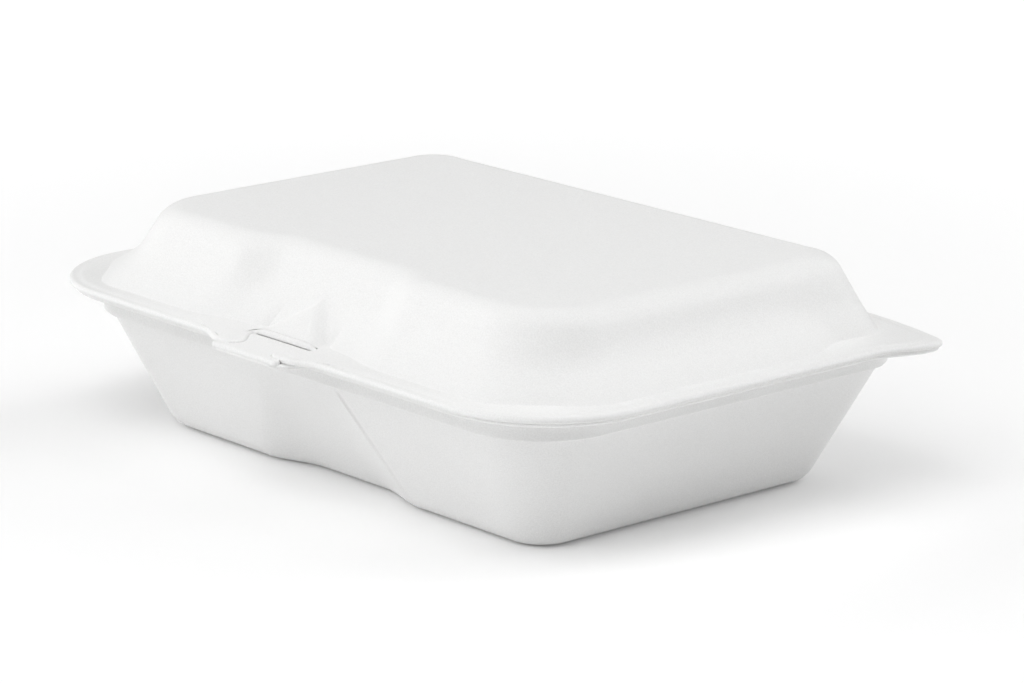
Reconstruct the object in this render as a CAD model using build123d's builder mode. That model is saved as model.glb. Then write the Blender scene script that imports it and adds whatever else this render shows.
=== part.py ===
# Hinged foam food box: a deep base tray and a shallower lid, formed in one sheet of
# white foam that folds along the back. Shown closed, standing on its bottom.
# Frame: millimetres, +Z up, X along the long side, lock at the front (-Y), fold at the back (+Y).
# The origin is the middle of the bottom.
import os
from math import atan, cos

from build123d import *

os.makedirs("parts", exist_ok=True)

# Foam sheet
wall = 2.2  # thickness of the walls, the bottom and the top
flange_thick = 1.4  # pressed thickness of each flange

# Base tray
foot_length = 167.4  # bottom, measured to the sharp corner under the round
foot_width = 105.5
foot_corner = 12.5
foot_corner_back = 9.5
foot_round = 8.0
base_draft = 0.45  # outward run of the wall for each millimetre of rise
crease_height = 35.5  # where the wall meets the shoulder
crease_corner = 22.0
crease_corner_back = 15.0
shoulder_step = 2.2  # how far the shoulder stands out from the wall
shoulder_round = 2.0
shoulder_height = 8.0  # from the crease to the plane where the lid rests

# Finger recess in the front wall of the base, deepest at the foot
recess_depth = 5.2
recess_half_foot = 24.0
recess_half_top = 11.5
recess_run_foot = 20.0
recess_run_top = 10.0
recess_crease = 0.6  # how sharply its sides start; 0 is smooth

# Flanges of the base and the lid, measured outward from the shoulder
flange_front = 9.3
flange_side = 11.4
flange_back = 2.5
rim_corner = 35.0
base_inset = 1.2  # the base flange stays this far inside the lid flange
hinge_half = 75.0  # the fold runs straight this far to each side
ear_start = 29.5  # the end edges begin to flare this far ahead of the fold
ear_flare = 4.7  # how far the ears stand out
ear_tip = 10.0  # where they stand out most, ahead of the fold
ear_drop = 4.5  # depth of the round at the tip of an ear
ear_nose = 3.5  # width of that round

# Lid
lid_height = 22.5  # above the plane where it rests
land_front = 12.4  # flange from its edge to the foot of the dome
land_side = 14.3
land_back = 7.0
lid_run_front = 11.7  # how far the wall leans in up to the top
lid_run_side = 10.1
lid_run_back = 7.2
lid_corner = 26.5  # front corners at the foot of the dome
lid_corner_top = 21.5  # and at its top
lid_corner_back = 14.0
lid_round = 9.0
lid_foot_round = 8.0
waist_half = 30.0  # the front wall is drawn in between these half widths
waist_run = 15.0
waist_depth_foot = 3.8
waist_depth_top = 5.5
lip_width = 6.0  # raised bead along the edge of the lid flange
lip_height = 0.35

# Lock at the middle of the front
tongue_half = 18.0
tongue_reach = 6.2  # past the rim
tongue_corner = 7.0
pad_height = 1.0  # the tongue rises this far into the notch
pad_gap = 0.5  # clear space between the tongue and the notch
notch_half = 13.0  # gap in the lid flange over the tongue, at its back
notch_depth = 8.2
lobe_half = 7.6  # half width of the gap between the two lobes at its mouth
lobe_reach = 3.6  # how far the lobes stand out past the rim
lobe_corner = 2.9
lobe_crest = 14.0  # the lobes stand out most up to this half width
lobe_end = 26.0  # where they run out into the rim
hood_half_top = 9.0
hood_lean = 15.0  # the hood's front leans in this far up to its top
hood_height = 11.5
hood_depth = 12.0  # from its front into the dome
hood_round = 3.0
slit = 0.5  # clear height between the hood and the tongue
slit_reach = 3.3  # from the notch into the space under the hood

part_height = crease_height + shoulder_height
lid_rise = lid_height - flange_thick
foot_half = foot_length / 2
foot_side = foot_width / 2
crease_grow = base_draft * crease_height
rim_half = foot_half + crease_grow + shoulder_step + flange_side
rim_front = -(foot_side + crease_grow + shoulder_step + flange_front)
hinge_y = foot_side + crease_grow + shoulder_step + flange_back
hood_front = rim_front + notch_depth
wall_run_base = wall / cos(atan(base_draft))
wall_run_lid = wall / cos(atan(lid_run_side / lid_rise))


def between(start, end, share):
    return start + (end - start) * share


def level_section(z, half_length, front, back, radius, back_radius, dip, dip_half, dip_run, crease):
    # Rounded rectangle at height z whose front edge dips inward at its middle. The dip starts
    # smoothly, or as sharply as crease says.
    near = dip_half - dip_run / 2
    far = dip_half + dip_run / 2
    straight = half_length - radius
    back_straight = half_length - back_radius
    slope = crease * dip / dip_run
    with BuildSketch(Plane.XY.offset(z)) as section:
        with BuildLine():
            Line((-straight, front), (-far, front))
            Spline((-far, front), (-near, front + dip), tangents=((1, slope), (1, 0)))
            Line((-near, front + dip), (near, front + dip))
            Spline((near, front + dip), (far, front), tangents=((1, 0), (1, -slope)))
            Line((far, front), (straight, front))
            CenterArc((straight, front + radius), radius, -90, 90)
            Line((half_length, front + radius), (half_length, back - back_radius))
            CenterArc((back_straight, back - back_radius), back_radius, 0, 90)
            Line((back_straight, back), (-back_straight, back))
            CenterArc((-back_straight, back - back_radius), back_radius, 90, 90)
            Line((-half_length, back - back_radius), (-half_length, front + radius))
            CenterArc((-straight, front + radius), radius, 180, 90)
        make_face()
    return section.sketch


def tray_section(z, inset, step=0.0):
    # Section of the base wall at height z, set in by inset and out by step.
    rise = min(z / crease_height, 1.0)
    grow = base_draft * z - inset + step
    return level_section(
        z,
        foot_half + grow,
        -foot_side - grow,
        foot_side + grow,
        between(foot_corner, crease_corner, rise) - inset + step,
        between(foot_corner_back, crease_corner_back, rise) - inset + step,
        between(recess_depth, 0, rise),
        between(recess_half_foot, recess_half_top, rise),
        between(recess_run_foot, recess_run_top, rise),
        recess_crease,
    )


def lid_section(height, inset):
    # Section of the lid dome, set in by inset, at a height above the plane where the lid rests.
    rise = (height - flange_thick) / lid_rise
    return level_section(
        part_height + height,
        rim_half - land_side - lid_run_side * rise - inset,
        rim_front + land_front + lid_run_front * rise + inset,
        hinge_y - land_back - lid_run_back * rise - inset,
        between(lid_corner, lid_corner_top, rise) - inset,
        lid_corner_back - inset,
        between(waist_depth_foot, waist_depth_top, rise),
        waist_half,
        waist_run,
        0,
    )


def rim_outline(z, inset, fold_inset, notched):
    # Plan of a flange at height z: large round front corners, ears at the ends of the fold and,
    # in the lid, a notch between two lobes at the middle of the front.
    side = rim_half - inset
    front = rim_front + inset
    corner = rim_corner - inset
    back = hinge_y - fold_inset
    tip = (side + ear_flare, back - ear_tip)
    nose = (tip[0] - ear_nose, tip[1] + ear_drop)
    with BuildSketch(Plane.XY.offset(z)) as plan:
        with BuildLine():
            if notched:
                crest = front - lobe_reach
                notch = (notch_half + inset, hood_front + inset)
                turn = (lobe_half + lobe_corner, crest + lobe_corner - inset)
                mouth = (lobe_half + inset, turn[1])
                Line((0, notch[1]), notch)
                Spline(notch, mouth, tangents=((0, -1), (0, -1)))
                CenterArc(turn, lobe_corner - inset, 180, 90)
                Line((turn[0], crest), (lobe_crest, crest))
                Spline((lobe_crest, crest), (lobe_end, front), tangents=((1, 0), (1, 0)))
                Line((lobe_end, front), (side - corner, front))
            else:
                Line((0, front), (side - corner, front))
            CenterArc((side - corner, front + corner), corner, -90, 90)
            Line((side, front + corner), (side, hinge_y - ear_start))
            Spline((side, hinge_y - ear_start), tip, tangents=((0, 1), (0, 1)))
            round_tip = TangentArc(tip, nose, tangent=(0, 1))
            Spline(nose, (hinge_half, back), tangents=(round_tip % 1, (-1, 0)))
            Line((hinge_half, back), (0, back))
            mirror(about=Plane.YZ)
        make_face()
    return plan.sketch


def tongue_plan(z):
    with BuildSketch(Plane.XY.offset(z)) as plan:
        with Locations((0, rim_front - tongue_reach)):
            Rectangle(2 * tongue_half, tongue_reach + flange_front, align=(Align.CENTER, Align.MIN))
        fillet(plan.vertices().group_by(Axis.Y)[0], tongue_corner)
    return plan.sketch


def hood_section(height, front, half):
    # Level section of the hood over the slit; its back is buried in the dome.
    with BuildSketch(Plane.XY.offset(part_height + height)) as section:
        with Locations((0, front)):
            Rectangle(2 * half, hood_depth, align=(Align.CENTER, Align.MIN))
    return section.sketch


# Solid bounded by the outside of the base wall
with BuildPart() as tray_outside:
    loft((tray_section(0, 0), tray_section(crease_height, 0)), ruled=True)
    fillet(tray_outside.faces().sort_by(Axis.Z)[0].edges(), foot_round)

# Space inside the base wall
with BuildPart() as tray_inside:
    inside_levels = (wall, crease_height + wall)
    loft([tray_section(z, wall_run_base) for z in inside_levels], ruled=True)
    fillet(tray_inside.faces().sort_by(Axis.Z)[0].edges(), foot_round - wall)

# Shoulder below the flange, outside and inside
with BuildPart() as shoulder_outside:
    extrude(tray_section(crease_height, 0, shoulder_step), amount=shoulder_height)
    fillet(shoulder_outside.faces().sort_by(Axis.Z)[0].edges(), shoulder_round)

with BuildPart() as shoulder_inside:
    inside_inset = wall + base_draft * wall  # takes off the draft gained above the crease
    inside_shoulder = tray_section(crease_height + wall, inside_inset, shoulder_step)
    extrude(inside_shoulder, amount=shoulder_height - wall)

# Base flange with the lock's tongue, which rises inside the notch of the lid
with BuildPart() as base_flange:
    extrude(tongue_plan(part_height), amount=pad_height)
    extrude(rim_outline(part_height, -pad_gap, 0, True), amount=pad_height, mode=Mode.SUBTRACT)
    extrude(rim_outline(part_height - flange_thick, base_inset, 0, False), amount=flange_thick)
    extrude(tongue_plan(part_height - flange_thick), amount=flange_thick)

with BuildPart() as base_tray:
    add(base_flange.part)
    add(tray_outside.part)
    add(shoulder_outside.part)
    add(tray_inside.part, mode=Mode.SUBTRACT)
    add(shoulder_inside.part, mode=Mode.SUBTRACT)

base_tray.part.label = "base_tray"
export_step(base_tray.part, "parts/base_tray.step")

# Solid bounded by the outside of the lid's dome, and the space inside it
with BuildPart() as dome_outside:
    loft((lid_section(0, 0), lid_section(lid_height, 0)), ruled=True)
    fillet(dome_outside.faces().sort_by(Axis.Z)[-1].edges(), lid_round)

with BuildPart() as dome_inside:
    loft([lid_section(height, wall_run_lid) for height in (0, lid_height - wall)], ruled=True)
    fillet(dome_inside.faces().sort_by(Axis.Z)[-1].edges(), lid_round - wall)

# Hood over the slit, outside and inside
with BuildPart() as hood_outside:
    hood_foot = hood_section(slit, hood_front, notch_half)
    hood_crest = hood_section(hood_height, hood_front + hood_lean, hood_half_top)
    loft((hood_foot, hood_crest), ruled=True)
    hood_face = hood_outside.faces().sort_by(Axis.Y)[0]
    hood_sides = hood_face.edges().sort_by(Axis.X)
    fillet((hood_sides[0], hood_sides[-1]), hood_round)

with BuildPart() as hood_inside:
    inside_foot = hood_section(0, hood_front + wall, notch_half - wall)
    inside_top = hood_section(hood_height - wall, hood_front + hood_lean + wall, hood_half_top - wall)
    loft((inside_foot, inside_top), ruled=True)

# Raised bead along the edge of the lid flange
with BuildPart() as lip:
    extrude(rim_outline(part_height, 0, 0, True), amount=flange_thick + lip_height)
    extrude(rim_outline(part_height, lip_width, lip_width, False), amount=lid_height, mode=Mode.SUBTRACT)

with BuildPart() as lid:
    extrude(rim_outline(part_height, 0, 0, True), amount=flange_thick)
    add(dome_outside.part)
    flange_face = lid.faces().filter_by(Axis.Z).sort_by(Axis.Z)[-2]
    fillet(flange_face.inner_wires()[0].edges(), lid_foot_round)
    add(lip.part)
    add(hood_outside.part)
    add(dome_inside.part, mode=Mode.SUBTRACT)
    add(hood_inside.part, mode=Mode.SUBTRACT)
    with BuildSketch(Plane.XY.offset(part_height)):
        with Locations((0, hood_front)):
            Rectangle(2 * notch_half, slit_reach, align=(Align.CENTER, Align.MIN))
    extrude(amount=slit, mode=Mode.SUBTRACT)

lid.part.label = "lid"
export_step(lid.part, "parts/lid.step")
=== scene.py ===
import math
import bpy
from mathutils import Matrix, Vector


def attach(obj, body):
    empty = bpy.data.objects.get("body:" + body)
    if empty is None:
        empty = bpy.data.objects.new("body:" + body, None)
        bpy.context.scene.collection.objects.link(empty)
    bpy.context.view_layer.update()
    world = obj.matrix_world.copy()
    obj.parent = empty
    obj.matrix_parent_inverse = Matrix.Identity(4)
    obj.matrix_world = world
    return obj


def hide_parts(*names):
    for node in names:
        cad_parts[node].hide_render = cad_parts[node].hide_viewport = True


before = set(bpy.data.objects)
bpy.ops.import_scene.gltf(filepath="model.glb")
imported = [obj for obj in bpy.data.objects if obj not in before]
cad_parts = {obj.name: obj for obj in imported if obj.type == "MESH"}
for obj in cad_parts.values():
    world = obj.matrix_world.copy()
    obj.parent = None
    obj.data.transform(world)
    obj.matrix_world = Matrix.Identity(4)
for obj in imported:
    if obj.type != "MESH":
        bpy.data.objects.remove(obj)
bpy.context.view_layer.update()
print("frame loaded")

mm = 0.001

# sizes shared by both halves of the box, in millimetres
foamSheet = {
    "wall": 2.2,
    "flange": 1.4,
    "restPlane": 43.5,  # the lid's flange lies on the base's flange here
}

# outline of the two flanges, which flare out to ears at the ends of the fold
rimShape = {
    "half": 113.275, "front": -80.225, "fold": 73.425, "corner": 35.0,
    "foldHalf": 75.0, "earStart": 29.5, "earFlare": 4.7, "earTip": 10.0,
    "earDrop": 4.5, "earNose": 3.5,
    "earShare": 0.86,  # share of a wall's side that lies ahead of the ear
    "lockHalf": 41.0,  # the lock's stretch of the front edge ends here
}

# how many columns each stretch of a half outline gets, from the middle of the front to the
# middle of the back; ear is the end of side, and earTip is the start of backCorner
columns = {
    "hood": 40, "middle": 16, "dip": 40, "front": 24, "corner": 30,
    "side": 44, "ear": 20, "backCorner": 26, "earTip": 8, "back": 30,
}

# the same for the stretches of the lock's own outlines
lockColumns = {
    "lobeMouth": 18, "lobeRound": 12, "lobeCrest": 4, "lobeEnd": 12, "tongueSide": 6,
    "padFront": 26, "padWing": 12, "padCrest": 6, "padBulge": 16, "padMouth": 20, "padBack": 24,
}


def mix(a, b, t):
    return a + (b - a) * t


def smooth(t):
    t = min(max(t, 0.0), 1.0)
    return t * t * (3 - 2 * t)


def softMax(a, b, k):
    h = max(k - abs(a - b), 0.0) / k
    return max(a, b) + h * h * k * 0.25


def softMin(a, b, k):
    return -softMax(-a, -b, k)


def alongLine(a, b, n):
    return [(mix(a[0], b[0], i / n), mix(a[1], b[1], i / n)) for i in range(n)]


def towardEnd(a, b, n):
    # points along a line that crowd together near its end
    crowding = 1.7
    shares = [1 - (1 - i / n) ** crowding for i in range(n)]
    return [(mix(a[0], b[0], t), mix(a[1], b[1], t)) for t in shares]


def alongArc(cx, cy, r, a0, a1, n):
    turn = [math.radians(mix(a0, a1, i / n)) for i in range(n)]
    return [(cx + r * math.cos(t), cy + r * math.sin(t)) for t in turn]


def alongCurve(a, b, ta, tb, n):
    # cubic from a to b leaving along ta and arriving along tb
    size = math.dist(a, b)
    out = []
    for i in range(n):
        t = i / n
        h = (
            2 * t ** 3 - 3 * t ** 2 + 1, t ** 3 - 2 * t ** 2 + t,
            -2 * t ** 3 + 3 * t ** 2, t ** 3 - t ** 2,
        )
        out.append(tuple(
            h[0] * a[k] + h[1] * size * ta[k] + h[2] * b[k] + h[3] * size * tb[k]
            for k in (0, 1)
        ))
    return out


def wholeRing(half, z):
    # mirrors a half outline that runs from the middle of the front to the middle of the back
    left = [(-x, y) for x, y in reversed(half[1:-1])]
    return [Vector((x, y, z)) for x, y in half + left]


def levelRing(z, halfLength, front, back, radius, backRadius, dip, dipHalf, dipRun, hood, crease):
    # rounded rectangle whose front dips inward at its middle, softly or from a crease
    near, far = dipHalf - dipRun / 2, dipHalf + dipRun / 2
    c = columns
    half = towardEnd((0, front + dip), (hood, front + dip), c["hood"])
    half += alongLine((hood, front + dip), (near, front + dip), c["middle"])
    for i in range(c["dip"]):
        t = i / c["dip"]
        sag = 1 - (3 - crease) * t ** 2 - (crease - 2) * t ** 3
        half.append((mix(near, far, t), front + dip * sag))
    half += alongLine((far, front), (halfLength - radius, front), c["front"])
    half += alongArc(halfLength - radius, front + radius, radius, -90, 0, c["corner"])
    split = mix(front + radius, back - backRadius, rimShape["earShare"])  # beside the ear's foot
    half += alongLine((halfLength, front + radius), (halfLength, split), c["side"] - c["ear"])
    half += alongLine((halfLength, split), (halfLength, back - backRadius), c["ear"])
    half += alongArc(
        halfLength - backRadius, back - backRadius, backRadius, 0, 90, c["backCorner"])
    half += alongLine((halfLength - backRadius, back), (0, back), c["back"])
    half.append((0, back))
    return wholeRing(half, z)


def rimRing(z, inset, foldInset, middle):
    # outline of a flange; middle is the list of points for the lock's stretch of the front edge
    r, c = rimShape, columns
    side, front, corner = r["half"] - inset, r["front"] + inset, r["corner"] - inset
    back = r["fold"] - foldInset
    tip = (side + r["earFlare"], back - r["earTip"])
    nose = (tip[0] - r["earNose"], tip[1] + r["earDrop"])
    earFoot = (side, r["fold"] - r["earStart"])
    chord = math.atan2(nose[1] - tip[1], nose[0] - tip[0])
    leave = 2 * chord - math.pi / 2  # heading at the end of the round at the tip
    heading = (math.cos(leave), math.sin(leave))
    radius = math.dist(tip, nose) / 2 / math.sin(chord - math.pi / 2)
    half = list(middle)
    half += alongLine(half[-1], (side - corner, front), c["front"])[1:]
    half += alongArc(side - corner, front + corner, corner, -90, 0, c["corner"])
    half += alongLine((side, front + corner), earFoot, c["side"] - c["ear"])
    half += alongCurve(earFoot, tip, (0, 1), (0, 1), c["ear"])
    half += alongArc(tip[0] - radius, tip[1], radius, 0, math.degrees(leave) - 90, c["earTip"])
    half += alongCurve(
        nose, (r["foldHalf"], back), heading, (-1, 0), c["backCorner"] - c["earTip"])
    half += alongLine((r["foldHalf"], back), (0, back), c["back"])
    half.append((0, back))
    return wholeRing(half, z)


def outward(ring):
    # level outward direction at each point of a ring
    n = len(ring)
    out = []
    for i in range(n):
        along = ring[(i + 1) % n] - ring[i - 1]
        out.append(Vector((along.y, -along.x, 0)).normalized())
    return out


def opposite(vectors):
    return [-d for d in vectors]


def roundedTurn(corner, da, db, radius, n):
    # circular arc near a corner, from the leg along da to the leg along db
    angle = da.angle(db)
    reach = radius / math.tan(angle / 2)
    weight = math.sin(angle / 2)
    a, b = corner + da * reach, corner + db * reach
    points = []
    for i in range(n + 1):
        t = i / n
        wa, wc, wb = (1 - t) ** 2, 2 * t * (1 - t) * weight, t * t
        points.append((a * wa + corner * wc + b * wb) / (wa + wc + wb))
    return points


def turnRings(cornerRing, legA, legB, radius, n):
    perColumn = [roundedTurn(c, a, b, radius, n) for c, a, b in zip(cornerRing, legA, legB)]
    return [[column[k] for column in perColumn] for k in range(n + 1)]


def spanRings(a, b, shares):
    # rings between two others; shares near 0 and 1 keep the shading crisp at the ends
    return [[p.lerp(q, s) for p, q in zip(a, b)] for s in shares]


def evenShares(n):
    return [i / n for i in range(1, n)]


def directions(a, b):
    return [(q - p).normalized() for p, q in zip(a, b)]


def capRings(ring, n):
    # rings that close a flat face towards its middle, tight at the edge
    first, run = 0.03, 0.95
    middle = sum(ring, Vector()) / len(ring)
    shares = [first + run * (i / n) for i in range(n + 1)]
    return [[p.lerp(middle, s) for p in ring] for s in shares]


def addObject(name, data):
    added = bpy.data.objects.new(name, data)
    bpy.context.scene.collection.objects.link(added)
    return added


def skinMesh(name, stacks):
    # closed skins over stacks of rings, capped at both ends
    verts, faces = [], []
    for rings in stacks:
        n, base = len(rings[0]), len(verts)
        verts += [tuple(p * mm) for ring in rings for p in ring]
        for k in range(len(rings) - 1):
            for i in range(n):
                a, b = base + k * n + i, base + k * n + (i + 1) % n
                faces.append((a, b, b + n, a + n))
        faces.append(tuple(base + i for i in reversed(range(n))))
        faces.append(tuple(base + (len(rings) - 1) * n + i for i in range(n)))
    mesh = bpy.data.meshes.new(name)
    mesh.from_pydata(verts, [], faces)
    mesh.polygons.foreach_set("use_smooth", [len(face) == 4 for face in faces])
    mesh.update()
    return addObject(name, mesh)


# lid: a domed sheet with a drawn-in front, a hood over the slit and a stepped flange
lidShape = {
    "height": 22.5, "landFront": 12.4, "landSide": 14.3, "landBack": 7.0,
    "runFront": 11.7, "runSide": 10.1, "runBack": 7.2,
    "corner": 26.5, "cornerTop": 21.5, "cornerBack": 14.0, "topRound": 9.0,
    "waistHalf": 30.0, "waistRun": 15.0, "waistFoot": 3.8, "waistTop": 5.5,
    "landHeight": 2.05, "stepWidth": 4.2,
    "underInset": 0.5,  # from the flange's edge to the start of the round below it
    # the flange's edge and the step in its land: inset from the edge and height over the plane
    "edge": (
        (0.18, 0.18), (0.03, 0.42), (0.0, 0.8), (0.08, 1.14), (0.3, 1.46), (0.62, 1.68),
        (1.0, 1.74), (1.5, 1.70), (2.1, 1.68), (2.6, 1.72), (3.0, 1.82), (3.4, 1.94),
        (3.8, 2.03), (4.3, 2.05), (5.2, 2.04), (6.7, 2.04),
    ),
    "lip": 6,  # which pair of edge is the top of the lip
    "foldShare": 0.92,  # how much of the narrow land at the fold the step may take
    # skirt over the wall's foot: how far up the wall it goes, its round there and at its line
    "skirtRise": 9.0, "skirtBend": 20.0, "footLine": 0.8,
    # how far the skirt's line draws back to the wall's foot: at the front corners and the back
    "cornerDraw": 1.8, "backDraw": 0.8, "backFrom": 22.0, "backRun": 28.0,
    "waistBack": -50.0,  # the drawn-in stretch of that line lies ahead of this
}
lidRings = {"cap": 14, "capIn": 8, "topRound": 16, "topRoundIn": 12, "footLine": 5, "bend": 8}

lockShape = {
    "tongueHalf": 18.0, "tongueReach": 6.2, "tongueCorner": 7.0,
    "notchHalf": 13.0, "notchDepth": 8.2,
    "lobeHalf": 7.6, "lobeReach": 3.6, "lobeCorner": 2.9, "lobeCrest": 14.0, "lobeEnd": 26.0,
    "lobeMargin": 1.5,  # the rim's rings follow the lobes up to this inset
    # behind the lobes: distance from the notch, lean of the later rings, end and heading
    "restGap": 0.9, "restLean": 0.25, "restEnd": 20.0, "restHeading": (0.4, -0.9),
    "hoodHalfTop": 9.0, "hoodLean": 15.0, "hoodHeight": 11.5,
    "hoodFoot": 0.9, "hoodNarrow": 0.4, "hoodFlank": 1.0, "hoodSoft": 3.2, "hoodBlend": 2.2,
    "hoodReach": 24.0, "hoodBack": -40.0,  # the hood changes nothing past these
    # slit under the hood's edge: its height beside the pad's, its depth, and how it runs out
    "slit": -0.2, "slitReach": 3.3, "slitBand": 0.3, "slitEnd": 0.1, "slitFade": 1.2,
}

# pad on the base's tongue, which fills the lid's notch
padShape = {
    "height": 1.2, "backGap": 0.2, "wingGap": 0.06, "wingInset": 1.0,
    "tipInset": 0.03,  # from the tip of the tongue
    # the pad's edge: inset and share of its height; the full inset is ahead of the lobes only
    "edge": (
        (0.0, -0.4), (0.0, 0.3), (0.06, 0.6), (0.2, 0.84), (0.4, 0.96), (0.6, 1.0), (0.75, 1.0),
    ),
    "crispShare": 0.15, "crispMargin": 0.05,
}


def lidRing(height, inset):
    lid, r = lidShape, rimShape
    rise = (height - foamSheet["flange"]) / (lid["height"] - foamSheet["flange"])
    return levelRing(
        foamSheet["restPlane"] + height,
        r["half"] - lid["landSide"] - lid["runSide"] * rise - inset,
        r["front"] + lid["landFront"] + lid["runFront"] * rise + inset,
        r["fold"] - lid["landBack"] - lid["runBack"] * rise - inset,
        mix(lid["corner"], lid["cornerTop"], rise) - inset, lid["cornerBack"] - inset,
        mix(lid["waistFoot"], lid["waistTop"], rise), lid["waistHalf"], lid["waistRun"],
        lockShape["notchHalf"], 0,
    )


def lockFront():
    # half outline of the lid flange across the lock: back of the notch, then a lobe
    k, c, n, r = lockShape, columns, lockColumns, rimShape
    back, crest = r["front"] + k["notchDepth"], r["front"] - k["lobeReach"]
    mouth, turn = (k["lobeHalf"], crest + k["lobeCorner"]), k["lobeHalf"] + k["lobeCorner"]
    lobeEnd, lockEnd = (k["lobeEnd"], r["front"]), (r["lockHalf"], r["front"])
    points = towardEnd((0, back), (k["notchHalf"], back), c["hood"])
    points += alongCurve((k["notchHalf"], back), mouth, (0, -1), (0, -1), n["lobeMouth"])
    points += alongArc(turn, crest + k["lobeCorner"], k["lobeCorner"], 180, 270, n["lobeRound"])
    points += alongLine((turn, crest), (k["lobeCrest"], crest), n["lobeCrest"])
    points += alongCurve((k["lobeCrest"], crest), lobeEnd, (1, 0), (1, 0), n["lobeEnd"])
    rest = c["hood"] + c["middle"] + c["dip"] - len(points)
    points += alongLine(lobeEnd, lockEnd, rest)
    return points + [lockEnd]


def notchedRim(z, inset, foldInset):
    # the lid flange's outline set in; past a narrow margin it runs straight behind the lobes
    k, c, r = lockShape, columns, rimShape
    points, margin = lockFront(), k["lobeMargin"]
    near = min(inset, margin)
    offset = []
    for i, p in enumerate(points):
        a, b = points[max(i - 1, 0)], points[min(i + 1, len(points) - 1)]
        along = Vector((b[0] - a[0], b[1] - a[1])).normalized()
        offset.append((max(p[0] - along.y * near, 0.0) if i else 0.0, p[1] + along.x * near))
    if inset > margin:
        back = r["front"] + k["notchDepth"]
        front = r["front"] + inset
        count = len(points) - c["hood"]
        lean = max(inset - lidShape["stepWidth"], 0.0) * k["restLean"]
        rest = back + k["restGap"] + lean
        bendFrom, bendTo = (k["notchHalf"] + k["restGap"], rest), (k["restEnd"], front)
        lockEnd = (r["lockHalf"], front)
        behind = towardEnd((0, rest), bendFrom, c["hood"])
        behind += alongCurve(bendFrom, bendTo, k["restHeading"], (1, 0), c["middle"])
        behind += alongLine(bendTo, lockEnd, count - c["middle"] - 1) + [lockEnd]
        share = smooth((inset - margin) / (lidShape["stepWidth"] - margin))
        offset = [
            (mix(p[0], q[0], share), mix(p[1], q[1], share)) for p, q in zip(offset, behind)
        ]
    return rimRing(z, inset, foldInset, offset)


def hoodSurface(x, y):
    # height of the hood's outside at a place in plan: a ramp with soft sides
    k, plane = lockShape, foamSheet["restPlane"]
    start = rimShape["front"] + k["notchDepth"]
    tall = k["hoodHeight"] - k["slit"]
    foot = plane + padShape["height"] + k["slit"] + k["hoodFoot"]
    face = foot + (y - start) * (tall - padShape["height"]) / k["hoodLean"]
    halfFoot = k["notchHalf"] - k["hoodNarrow"]
    half = mix(halfFoot, k["hoodHalfTop"], (y - start) / k["hoodLean"])
    side = foot + (half - abs(x)) * k["hoodFlank"]
    return softMin(face, side, k["hoodSoft"])


def hoodHollow(x, y):
    # height of the space under the hood, on the lid's inner side
    k, wall, plane = lockShape, foamSheet["wall"], foamSheet["restPlane"]
    start = rimShape["front"] + k["notchDepth"] + wall
    tall = k["hoodHeight"] - wall
    face = plane + (y - start) * tall / k["hoodLean"]
    side = plane + (k["notchHalf"] - wall - abs(x)) * k["hoodFlank"]
    return min(face, side, plane + tall)


def shapeHood(rings, under, edgeEnd):
    # lifts the hood out of the lid's rings and opens the slit below it; rings before under
    # are the lid's inner side, and those from there to edgeEnd are the flange's edge
    lid, k, plane = lidShape, lockShape, foamSheet["restPlane"]
    start = rimShape["front"] + k["notchDepth"]
    band = lid["edge"][lid["lip"] + 1][1] + k["slitBand"]
    slitHeight, slitHalf = padShape["height"] + k["slit"], k["notchHalf"] - k["slitEnd"]
    hair = 0.01
    for number, ring in enumerate(rings):
        for p in ring:
            if abs(p.x) > k["hoodReach"] or p.y > k["hoodBack"] or p.y < start - hair:
                continue
            if p.z < plane + band and p.y < start + k["slitReach"] and number < edgeEnd:
                gap = slitHeight * smooth((slitHalf - abs(p.x)) / k["slitFade"])
                p.z = plane + gap + (p.z - plane) * (1 - gap / band)
            if number < under:
                p.z = max(p.z, hoodHollow(p.x, p.y))
            elif number > under + 2:
                p.z = softMax(p.z, hoodSurface(p.x, p.y), k["hoodBlend"])


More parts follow.
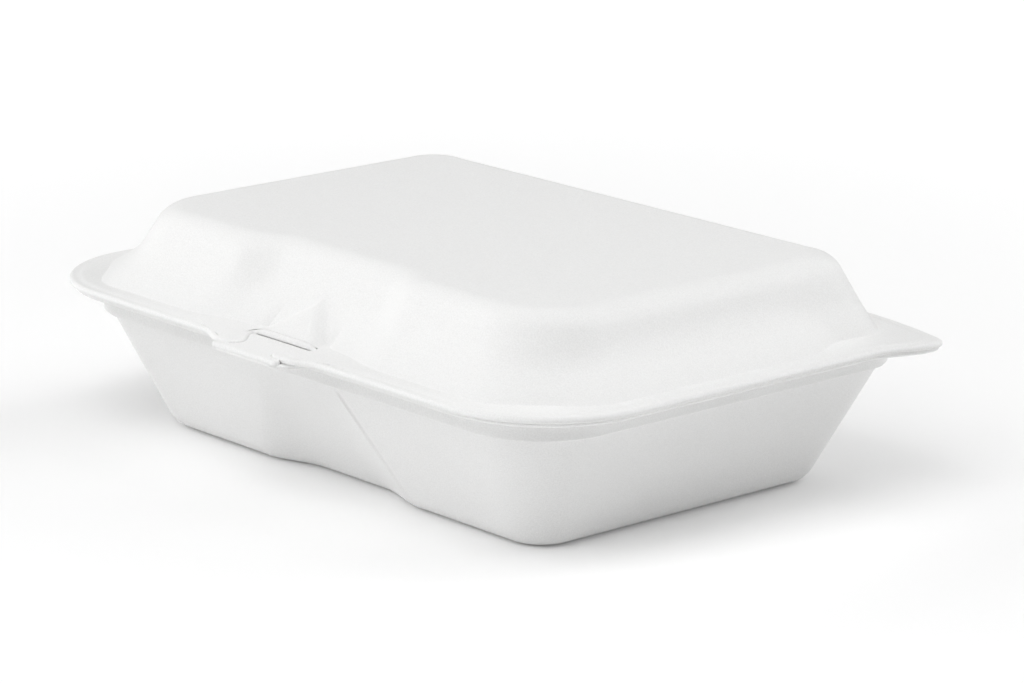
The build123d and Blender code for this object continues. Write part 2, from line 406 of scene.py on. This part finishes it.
def buildLid():
    s, lid, n = foamSheet, lidShape, lidRings
    plane, thick, edge, lip = s["restPlane"], s["flange"], lid["edge"], lid["lip"]
    foot, top = lidRing(lid["landHeight"], 0), lidRing(lid["height"], 0)
    wallInset = s["wall"] / math.cos(math.atan(lid["runSide"] / (lid["height"] - thick)))
    footIn, topIn = lidRing(0, wallInset), lidRing(lid["height"] - s["wall"], wallInset)
    up, upIn = directions(foot, top), directions(footIn, topIn)
    inwardTop, inwardTopIn = opposite(outward(top)), opposite(outward(topIn))

    inner = turnRings(
        topIn, inwardTopIn, opposite(upIn), lid["topRound"] - s["wall"], n["topRoundIn"])
    rings = list(reversed(capRings(inner[0], n["capIn"]))) + inner
    rings += spanRings(inner[-1], footIn, evenShares(10) + [0.97, 1.0])
    rimUnder = notchedRim(plane, lid["underInset"], 0.0)
    rings += spanRings(footIn, rimUnder, [0.03] + evenShares(10) + [0.97, 1.0])
    under = len(rings)
    for inset, height in edge:
        rings.append(notchedRim(plane + height, inset, inset))
    # where the land is narrow, at the fold, the step's rings crowd together
    lead, lipInset = rings[under + lip], edge[lip][0]
    deepest = edge[-1][0] - lipInset
    for (inset, height), ring in list(zip(edge, rings[under:]))[lip + 1:]:
        for i, p in enumerate(ring):
            room = (foot[i] - lead[i]).xy.length * lid["foldShare"]
            if room < deepest and p.y > 0:
                spot = lead[i].lerp(foot[i], lid["foldShare"] * (inset - lipInset) / deepest)
                ring[i] = Vector((spot.x, spot.y, p.z))
    # the last of these is the line where the skirt starts: it is drawn in at the waist, and
    # back to the wall's foot at the front corners and towards the fold
    line = rings.pop()
    for i, (p, q, d) in enumerate(zip(line, foot, outward(lead))):
        if p.y < lid["waistBack"] and abs(p.x) < rimShape["lockHalf"]:
            p.y += q.y - rimShape["front"] - lid["landFront"]
        elif p.y < 0:
            line[i] = p.lerp(q, lid["cornerDraw"] * (d.x * d.y) ** 2)
        else:
            line[i] = p.lerp(q, lid["backDraw"] * smooth((p.y - lid["backFrom"]) / lid["backRun"]))
    bend = [q + d * lid["skirtRise"] for q, d in zip(foot, up)]
    rings += spanRings(rings[-1], line, (0.3, 0.6))
    footTurn = turnRings(
        line, directions(line, rings[-1]), directions(line, bend), lid["footLine"], n["footLine"])
    bendTurn = turnRings(bend, directions(bend, line), up, lid["skirtBend"], n["bend"])
    topTurn = turnRings(top, opposite(up), inwardTop, lid["topRound"], n["topRound"])
    rings += footTurn
    rings += spanRings(footTurn[-1], bendTurn[0], [0.05] + evenShares(10) + [0.97])
    rings += bendTurn
    rings += spanRings(bendTurn[-1], topTurn[0], [0.04] + evenShares(12) + [0.97])
    rings += topTurn
    rings += capRings(topTurn[-1], n["cap"])
    shapeHood(rings, under, under + len(edge))
    return skinMesh("lidFoam", [rings])


lidPiece = buildLid()
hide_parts("lid")
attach(lidPiece, "lid")
print("lid", len(lidPiece.data.polygons))

# base: a deep tray with sloped walls, a crease, a shoulder and a flange with the lock's tongue
trayShape = {
    "footHalf": 83.7, "footSide": 52.75,
    "footCorner": 12.5, "footCornerBack": 9.5, "footRound": 8.0,
    "draft": 0.45, "crease": 35.5, "creaseCorner": 22.0, "creaseCornerBack": 15.0,
    "shoulderStep": 2.2, "shoulderRound": 0.7,
    "inset": 1.2,  # from the edge of the lid's flange to that of the base's
    "topInset": 0.35,  # from the flange's edge to the start of the round above it
    # the flange's edge: inset and drop below the plane; past the drop underFrom, the fold too
    "edge": ((0.16, 0.1), (0.04, 0.28), (0.0, 0.45), (0.08, 0.8), (0.35, 1.15), (0.8, 1.4)),
    "underFrom": 1.2,
    "recessDepth": 5.2, "recessHalfFoot": 24.0, "recessHalfTop": 11.5,
    "recessRunFoot": 20.0, "recessRunTop": 10.0, "recessCrease": 0.6, "recessFlat": 0.7,
    # thin line along the recess's right edge: depth, the run that it fades over, lowest place
    "lineDepth": 0.35, "lineFade": 5.0, "lineFoot": 2.0,
}
trayRings = {"cap": 8, "footRound": 14, "footRoundIn": 10, "shoulder": 8}


def trayRing(z, inset, step=0.0):
    t = trayShape
    rise = min(z / t["crease"], 1.0)
    grow = t["draft"] * z - inset + step
    dipHalf = mix(t["recessHalfFoot"], t["recessHalfTop"], rise)
    dipRun = mix(t["recessRunFoot"], t["recessRunTop"], rise)
    return levelRing(
        z, t["footHalf"] + grow, -t["footSide"] - grow, t["footSide"] + grow,
        mix(t["footCorner"], t["creaseCorner"], rise) - inset + step,
        mix(t["footCornerBack"], t["creaseCornerBack"], rise) - inset + step,
        mix(t["recessDepth"], 0, rise), dipHalf, dipRun,
        (dipHalf - dipRun / 2) * t["recessFlat"], t["recessCrease"],
    )


def tonguedRim(z, inset, foldInset):
    # the base flange's outline set in, with the tongue at the middle of its front
    k, c, r = lockShape, columns, rimShape
    sideColumns = lockColumns["tongueSide"]
    front = r["front"] + trayShape["inset"] + inset
    half, corner = k["tongueHalf"] - inset, k["tongueCorner"] - inset
    tip = r["front"] - k["tongueReach"] + inset
    lockEnd = (r["lockHalf"], front)
    middle = alongLine((0, tip), (half - corner, tip), c["hood"])
    middle += alongArc(half - corner, tip + corner, corner, -90, 0, c["middle"])
    middle += alongLine((half, tip + corner), (half, front), sideColumns)
    middle += alongLine((half, front), lockEnd, c["dip"] - sideColumns)
    middle.append(lockEnd)
    return rimRing(z, trayShape["inset"] + inset, foldInset, middle)


def tonguePad():
    # raised part of the tongue, with a soft edge in front and a crisp one along the notch
    k, d, n, r = lockShape, padShape, lockColumns, rimShape
    gap, plane = d["wingGap"], foamSheet["restPlane"]
    back = r["front"] + k["notchDepth"] - d["backGap"]
    crest = r["front"] - k["lobeReach"] - gap
    bulge, turn = k["lobeCorner"] + gap, k["lobeHalf"] + k["lobeCorner"]
    tip = r["front"] - k["tongueReach"] + d["tipInset"]
    end, wing = (crest - tip) / 2, k["lobeCrest"] - d["wingInset"]
    mouth, corner = (k["lobeHalf"] - gap, crest + bulge), (k["notchHalf"] - gap, back)
    half = alongLine((0, tip), (wing, tip), n["padFront"])
    half += alongArc(wing, tip + end, end, -90, 90, n["padWing"])
    half += alongLine((wing, crest), (turn, crest), n["padCrest"])
    half += alongArc(turn, crest + bulge, bulge, 270, 180, n["padBulge"])
    half += alongCurve(mouth, corner, (0, 1), (0, 1), n["padMouth"])
    half += alongLine(corner, (0, back), n["padBack"]) + [(0, back)]
    plan = wholeRing(half, plane)
    aside = outward(plan)
    share = [1.0 if p.y < crest - d["crispMargin"] else d["crispShare"] for p in plan]
    rings = []
    for inset, height in d["edge"]:
        lift = Vector((0, 0, height * d["height"]))
        rings.append([p - a * inset * s + lift for p, a, s in zip(plan, aside, share)])
    return rings


def buildTray():
    s, t, n = foamSheet, trayShape, trayRings
    plane, thick, crease = s["restPlane"], s["flange"], t["crease"]
    run = s["wall"] / math.cos(math.atan(t["draft"]))
    foot, brow = trayRing(0, 0), trayRing(crease, 0)
    footIn, browIn = trayRing(s["wall"], run), trayRing(crease + s["wall"], run)
    up, upIn = directions(foot, brow), directions(footIn, browIn)
    ledgeInset = s["wall"] + t["draft"] * s["wall"]
    ledgeIn = trayRing(crease + s["wall"], ledgeInset, t["shoulderStep"])

    inner = turnRings(
        footIn, opposite(outward(footIn)), upIn, t["footRound"] - s["wall"], n["footRoundIn"])
    rings = list(reversed(capRings(inner[0], n["cap"]))) + inner
    rings += spanRings(inner[-1], browIn, evenShares(12) + [0.98, 1.0])
    rings += spanRings(browIn, ledgeIn, (0.15, 0.85, 1.0))
    shoulderIn = [Vector((p.x, p.y, plane)) for p in ledgeIn]
    rings += spanRings(ledgeIn, shoulderIn, (0.05, 0.5, 0.95, 1.0))
    rimTop = tonguedRim(plane, t["topInset"], 0.0)
    rings += spanRings(shoulderIn, rimTop, [0.05] + evenShares(16) + [0.97, 1.0])
    for inset, drop in t["edge"]:
        rings.append(tonguedRim(plane - drop, inset, 0.0 if drop < t["underFrom"] else inset))
    step = trayRing(crease, 0, t["shoulderStep"])
    shoulderTop = [Vector((p.x, p.y, plane - thick)) for p in step]
    rings += spanRings(rings[-1], shoulderTop, (0.05, 0.3, 0.6, 0.9, 0.98, 1.0))
    upright = [Vector((0, 0, 1))] * len(step)
    stepTurn = turnRings(
        step, upright, opposite(outward(step)), t["shoulderRound"], n["shoulder"])
    rings += spanRings(shoulderTop, stepTurn[0], (0.06, 0.3, 0.6, 0.9))
    rings += stepTurn
    footTurn = turnRings(foot, up, opposite(outward(foot)), t["footRound"], n["footRound"])
    rings += spanRings(stepTurn[-1], brow, (0.5, 1.0))
    wallFrom = len(rings)
    rings += spanRings(brow, footTurn[0], [0.02, 0.05] + evenShares(14) + [0.97])
    # the thin line that the photograph shows along the recess's right edge
    edge = columns["hood"] + columns["middle"] + columns["dip"]
    for ring in rings[wallFrom:]:
        p = ring[edge]
        fadeTop = smooth((crease - p.z) / t["lineFade"])
        p.y += t["lineDepth"] * fadeTop * smooth((p.z - t["lineFoot"]) / t["lineFade"])
    rings += footTurn
    rings += capRings(footTurn[-1], n["cap"])
    return skinMesh("baseFoam", [list(reversed(rings)), tonguePad()])


trayPiece = buildTray()
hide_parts("base_tray")
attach(trayPiece, "base")
print("base", len(trayPiece.data.polygons))

# white expanded foam: a skin of fine closed cells, sandy to the eye, with faint mottling
foamFinish = {
    "colour": (0.90, 0.90, 0.895, 1.0), "shade": (0.80, 0.80, 0.795, 1.0), "speckle": (0.2, 0.8),
    "sheen": 0.3, "roughness": 0.6, "roughSpread": 0.08,
    "cellScale": 1700.0, "grainScale": 2600.0, "grainDetail": 2.0,
    "mottleScale": 90.0, "mottleDetail": 5.0, "bump": 0.35, "depth": 0.00012,
}


def noiseTexture(nodes, scale, detail):
    texture = nodes.new("ShaderNodeTexNoise")
    texture.inputs["Scale"].default_value = scale
    texture.inputs["Detail"].default_value = detail
    return texture


def foamMaterial():
    f = foamFinish
    material = bpy.data.materials.new("whiteFoam")
    material.use_nodes = True
    nodes, links = material.node_tree.nodes, material.node_tree.links
    shader = nodes["Principled BSDF"]
    shader.inputs["Specular IOR Level"].default_value = f["sheen"]
    coords = nodes.new("ShaderNodeTexCoord")
    cells = nodes.new("ShaderNodeTexVoronoi")
    cells.inputs["Scale"].default_value = f["cellScale"]
    grain = noiseTexture(nodes, f["grainScale"], f["grainDetail"])
    mottle = noiseTexture(nodes, f["mottleScale"], f["mottleDetail"])
    for texture in (cells, grain, mottle):
        links.new(coords.outputs["Object"], texture.inputs["Vector"])
    speckle = nodes.new("ShaderNodeMapRange")
    speckle.inputs["From Min"].default_value = f["speckle"][0]
    speckle.inputs["From Max"].default_value = f["speckle"][1]
    links.new(grain.outputs["Fac"], speckle.inputs["Value"])
    colour = nodes.new("ShaderNodeMix")
    colour.data_type = "RGBA"
    colour.inputs["A"].default_value = f["shade"]
    colour.inputs["B"].default_value = f["colour"]
    links.new(speckle.outputs["Result"], colour.inputs["Factor"])
    links.new(colour.outputs["Result"], shader.inputs["Base Color"])
    rough = nodes.new("ShaderNodeMapRange")
    rough.inputs["To Min"].default_value = f["roughness"] - f["roughSpread"]
    rough.inputs["To Max"].default_value = f["roughness"] + f["roughSpread"]
    links.new(mottle.outputs["Fac"], rough.inputs["Value"])
    links.new(rough.outputs["Result"], shader.inputs["Roughness"])
    height = nodes.new("ShaderNodeMath")
    height.operation = "ADD"
    links.new(cells.outputs["Distance"], height.inputs[0])
    links.new(mottle.outputs["Fac"], height.inputs[1])
    bump = nodes.new("ShaderNodeBump")
    bump.inputs["Strength"].default_value = f["bump"]
    bump.inputs["Distance"].default_value = f["depth"]
    links.new(height.outputs["Value"], bump.inputs["Height"])
    links.new(bump.outputs["Normal"], shader.inputs["Normal"])
    return material


whiteFoam = foamMaterial()
for piece in (lidPiece, trayPiece):
    piece.data.materials.append(whiteFoam)
print("foam finish")

# plain floor that glows as painted light: faint near the box, stronger away from it
floorLook = {
    "half": 4.0, "colour": (0.93, 0.93, 0.93, 1.0), "roughness": 0.9,
    "glowNear": 0.06, "glowFar": 0.5, "near": 0.12, "far": 1.0,
}


def floorMaterial():
    f = floorLook
    material = bpy.data.materials.new("floorPaper")
    material.use_nodes = True
    nodes, links = material.node_tree.nodes, material.node_tree.links
    shader = nodes["Principled BSDF"]
    shader.inputs["Base Color"].default_value = f["colour"]
    shader.inputs["Roughness"].default_value = f["roughness"]
    shader.inputs["Emission Color"].default_value = (1, 1, 1, 1)
    coords = nodes.new("ShaderNodeTexCoord")
    away = nodes.new("ShaderNodeVectorMath")
    away.operation = "LENGTH"
    # painted light: the floor's glow grows with distance from the box, so the floor stays darker
    # beside it
    glow = nodes.new("ShaderNodeMapRange")
    glow.interpolation_type = "SMOOTHSTEP"
    glow.inputs["From Min"].default_value = f["near"]
    glow.inputs["From Max"].default_value = f["far"]
    glow.inputs["To Min"].default_value = f["glowNear"]
    glow.inputs["To Max"].default_value = f["glowFar"]
    links.new(coords.outputs["Object"], away.inputs[0])
    links.new(away.outputs["Value"], glow.inputs["Value"])
    links.new(glow.outputs["Result"], shader.inputs["Emission Strength"])
    return material


floorMesh = bpy.data.meshes.new("floor")
reach = floorLook["half"]
floorCorners = [(-reach, -reach, 0), (reach, -reach, 0), (reach, reach, 0), (-reach, reach, 0)]
floorMesh.from_pydata(floorCorners, [], [(0, 1, 2, 3)])
floor = addObject("floor", floorMesh)
floorMesh.materials.append(floorMaterial())
print("floor")

# soft boxes: bearing from the front and height angle in degrees, distance, size and power
studio = {
    "leftLow": {"bearing": -75, "lift": 20, "distance": 1.8, "size": 1.2, "power": 8.7},
    "frontLow": {"bearing": -30, "lift": 20, "distance": 1.8, "size": 1.2, "power": 7.3},
    "frontHigh": {"bearing": 15, "lift": 50, "distance": 1.8, "size": 1.2, "power": 13.2},
    "rightHigh": {"bearing": 60, "lift": 50, "distance": 1.8, "size": 1.2, "power": 3.2},
    "backLow": {"bearing": 150, "lift": 20, "distance": 1.8, "size": 1.2, "power": 9.3},
    "backHigh": {"bearing": 150, "lift": 50, "distance": 1.8, "size": 1.2, "power": 8.5},
    "above": {"bearing": 0, "lift": 89, "distance": 1.8, "size": 1.6, "power": 10.0},
}
studioAim = (0, 0, 0.03)
airGlow = 0.005
for name, box in studio.items():
    bearing, lift = math.radians(box["bearing"]), math.radians(box["lift"])
    lamp = bpy.data.lights.new(name, "AREA")
    lamp.shape = "SQUARE"
    lamp.size = box["size"]
    lamp.energy = box["power"]
    level = math.cos(lift)
    place = Vector((math.sin(bearing) * level, -math.cos(bearing) * level, math.sin(lift)))
    holder = addObject(name, lamp)
    holder.location = place * box["distance"]
    toAim = Vector(studioAim) - holder.location
    holder.rotation_euler = toAim.to_track_quat("-Z", "Y").to_euler()

scene = bpy.context.scene
world = bpy.data.worlds.new("studioAir")
scene.world = world
world.use_nodes = True
air = world.node_tree.nodes["Background"]
air.inputs["Color"].default_value = (1, 1, 1, 1)
air.inputs["Strength"].default_value = airGlow
scene.view_settings.view_transform = "Standard"
print("lights")

# camera: the photograph's place, aim and slight roll
view = {
    "place": (0.87103, -0.75386, 0.34102), "aim": (0.00195, 0.00965, 0.03114),
    "roll": 0.25, "lens": 146.55, "sensor": 36.0, "farthest": 20.0,
}
cameraData = bpy.data.cameras.new("photoView")
cameraData.sensor_fit = "HORIZONTAL"
cameraData.sensor_width = view["sensor"]
cameraData.lens = view["lens"]
cameraData.clip_end = view["farthest"]
camera = addObject("photoView", cameraData)
ahead = (Vector(view["aim"]) - Vector(view["place"])).normalized()
right = ahead.cross(Vector((0, 0, 1))).normalized()
upward = right.cross(ahead)
roll = math.radians(view["roll"])
rightRolled = right * math.cos(roll) + upward * math.sin(roll)
upRolled = upward * math.cos(roll) - right * math.sin(roll)
camera.matrix_world = Matrix((rightRolled, upRolled, -ahead)).transposed().to_4x4()
camera.location = view["place"]
scene.camera = camera
print("camera")

bpy.context.view_layer.update()
